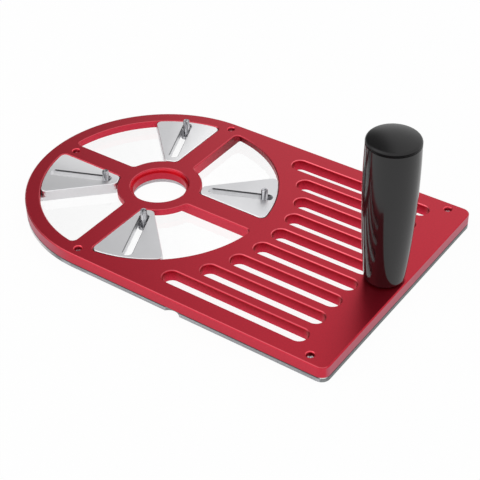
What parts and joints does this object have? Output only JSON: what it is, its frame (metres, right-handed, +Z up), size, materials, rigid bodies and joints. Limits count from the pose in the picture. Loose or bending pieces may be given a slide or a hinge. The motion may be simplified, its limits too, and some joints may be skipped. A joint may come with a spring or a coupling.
{
  "type": "router base plate",
  "caption": "Flat D-shaped router base with a spoked wheel, sliding adapters with screws, long slots, a clear sole and an upright side handle.",
  "frame": {"origin": "on the wheel's axis, at the sole's underside", "axes": "+X from the wheel towards the handle's end, +Y across the plate, +Z up out of the top face"},
  "size_m": [0.2487, 0.16, 0.1019],
  "materials": {
    "red_anodised": "satin anodised red",
    "clear_acrylic": "clear, polished",
    "bare_aluminium": "fine blasted",
    "zinc_steel": "zinc plated",
    "black_phenolic": "polished",
    "black_cap": "satin"
  },
  "bodies": {
    "base": {"top_plate": "red_anodised", "sole_plate": "clear_acrylic", "sole_screws": "zinc_steel", "handle_grip": "black_phenolic", "handle_cap": "black_cap", "handle_bolt": "zinc_steel", "handle_washer": "zinc_steel", "handle_lock_washer": "zinc_steel"},
    "adapter_east": {"wedge_east": "bare_aluminium"},
    "screw_east": {"wedge_screw_east": "zinc_steel"},
    "adapter_north": {"wedge_north": "bare_aluminium"},
    "screw_north": {"wedge_screw_north": "zinc_steel"},
    "adapter_west": {"wedge_west": "bare_aluminium"},
    "screw_west": {"wedge_screw_west": "zinc_steel"},
    "adapter_south": {"wedge_south": "bare_aluminium"},
    "screw_south": {"wedge_screw_south": "zinc_steel"}
  },
  "joints": [
    {"name": "adapter_east_turn", "type": "hinge", "parent": "base", "child": "adapter_east", "pos_m": [0, 0, 0.0031], "axis": [0, 0, 1], "range_deg": [0, 45]},
    {"name": "screw_east_slide", "type": "slide", "parent": "adapter_east", "child": "screw_east", "axis": [0.9239, 0.3827, 0], "range_m": [-0.0315, 0.0024]},
    {"name": "adapter_north_turn", "type": "hinge", "parent": "base", "child": "adapter_north", "pos_m": [0, 0, 0.0031], "axis": [0, 0, 1], "range_deg": [0, 45]},
    {"name": "screw_north_slide", "type": "slide", "parent": "adapter_north", "child": "screw_north", "axis": [-0.3827, 0.9239, 0], "range_m": [-0.0315, 0.0024]},
    {"name": "adapter_west_turn", "type": "hinge", "parent": "base", "child": "adapter_west", "pos_m": [0, 0, 0.0031], "axis": [0, 0, 1], "range_deg": [0, 45]},
    {"name": "screw_west_slide", "type": "slide", "parent": "adapter_west", "child": "screw_west", "axis": [-0.9239, -0.3827, 0], "range_m": [-0.0009, 0.033]},
    {"name": "adapter_south_turn", "type": "hinge", "parent": "base", "child": "adapter_south", "pos_m": [0, 0, 0.0031], "axis": [0, 0, 1], "range_deg": [0, 45]},
    {"name": "screw_south_slide", "type": "slide", "parent": "adapter_south", "child": "screw_south", "axis": [0.3827, -0.9239, 0], "range_m": [-0.0009, 0.033]}
  ]
}
